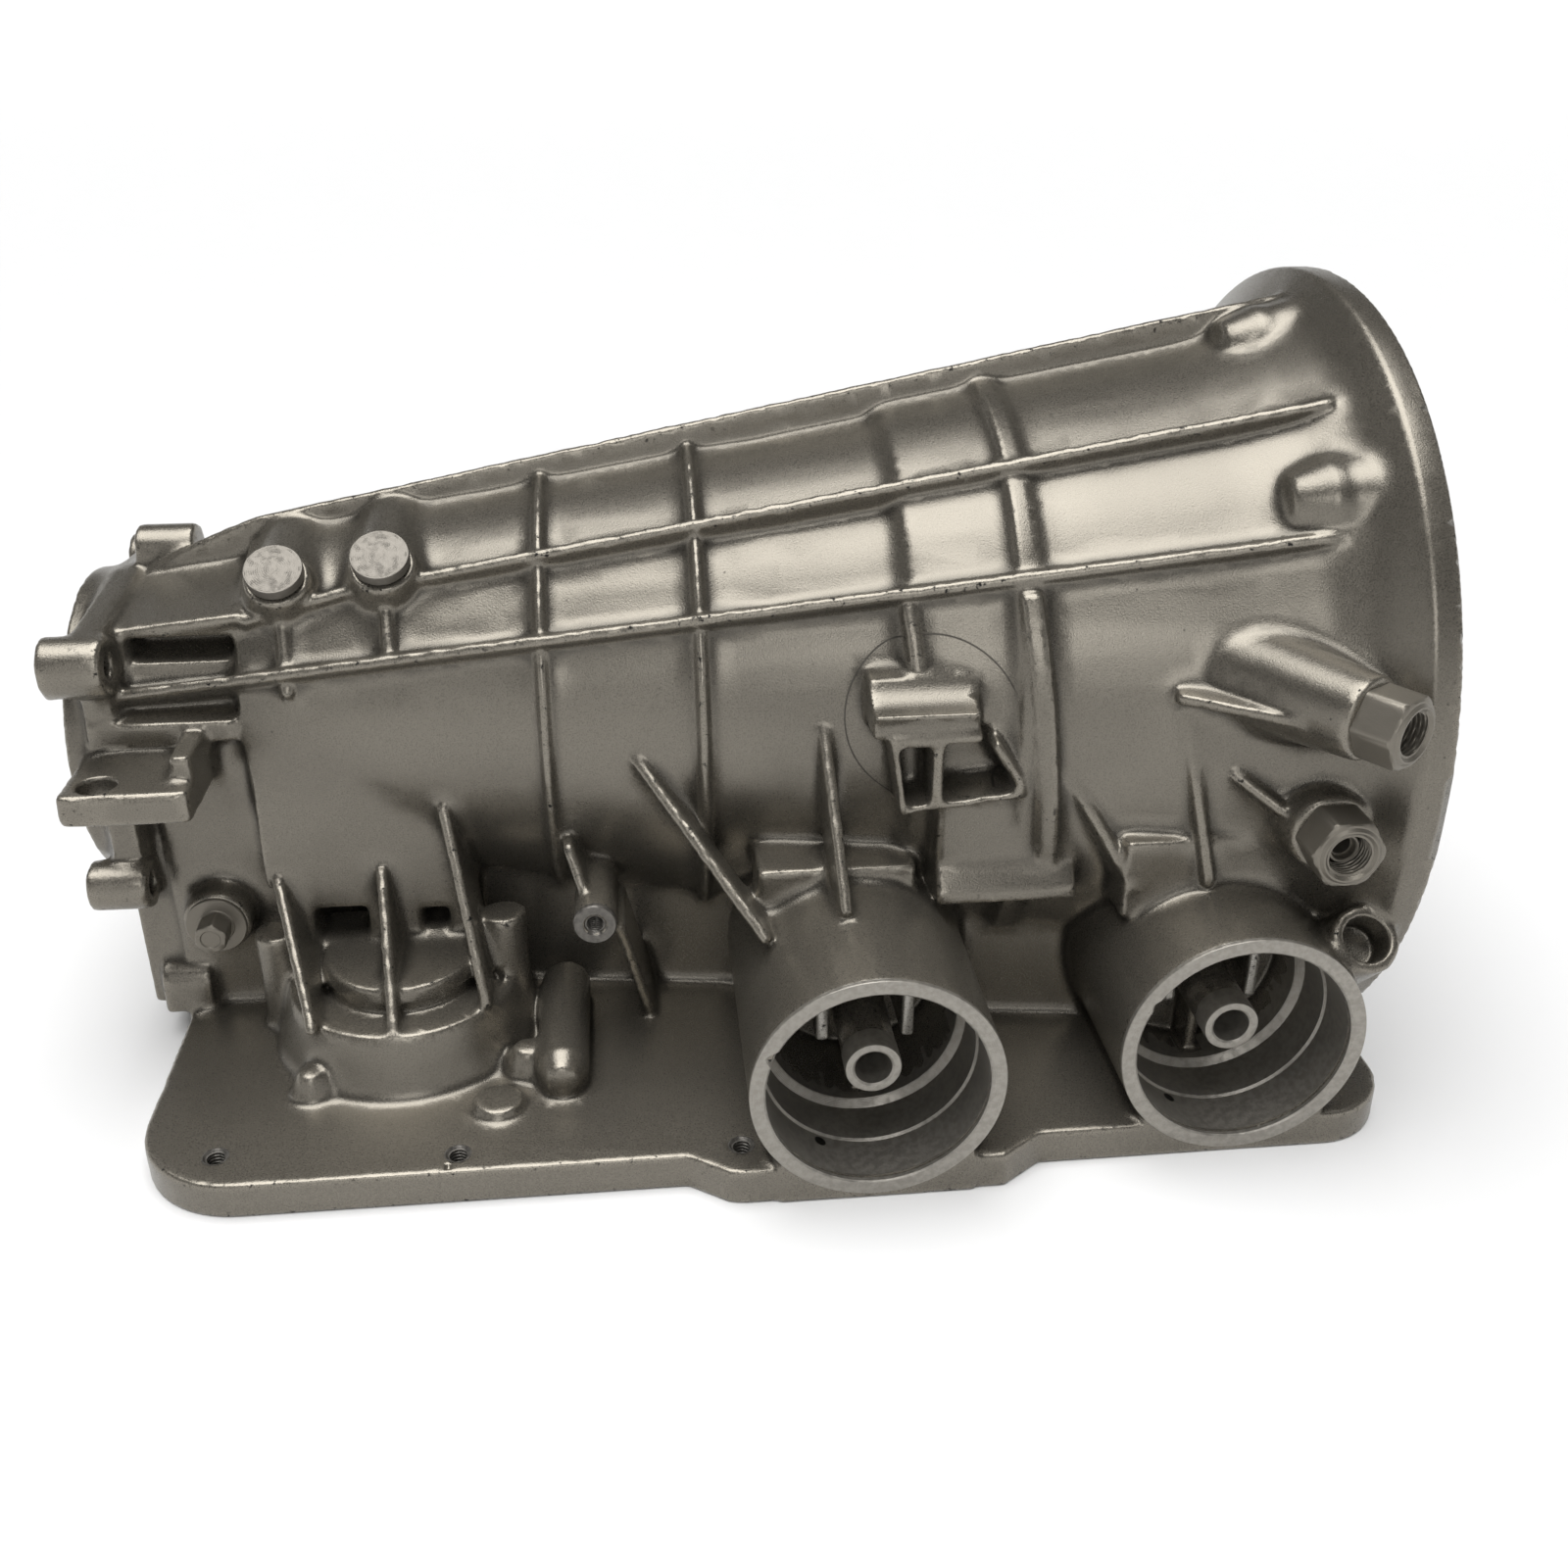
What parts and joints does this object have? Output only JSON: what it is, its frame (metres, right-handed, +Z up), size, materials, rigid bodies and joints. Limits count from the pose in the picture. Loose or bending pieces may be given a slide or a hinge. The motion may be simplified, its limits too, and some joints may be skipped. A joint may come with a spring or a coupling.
{
  "type": "gearbox housing",
  "caption": "Bare cast case of a rear-drive automatic gearbox: ribbed conical barrel with a wide front flange, servo cylinders, line fittings and a flat pan rail.",
  "frame": {"origin": "centre of the front register bore, on the front face", "axes": "+X along the shaft axis out of the front mouth, +Y away from the servo side, +Z up from the pan rail"},
  "size_m": [0.449, 0.3105, 0.266],
  "materials": {
    "case_paint": "satin gunmetal paint over cast aluminium",
    "fitting_steel": "painted over with the case",
    "plug_steel": "turned face, painted over with the case"
  },
  "bodies": {
    "root": {"transmission_case": "case_paint", "upper_cooler_fitting": "fitting_steel", "lower_cooler_fitting": "fitting_steel", "pressure_port_plug": "fitting_steel", "rear_shaft_plug": "plug_steel", "front_shaft_plug": "plug_steel"}
  },
  "joints": []
}
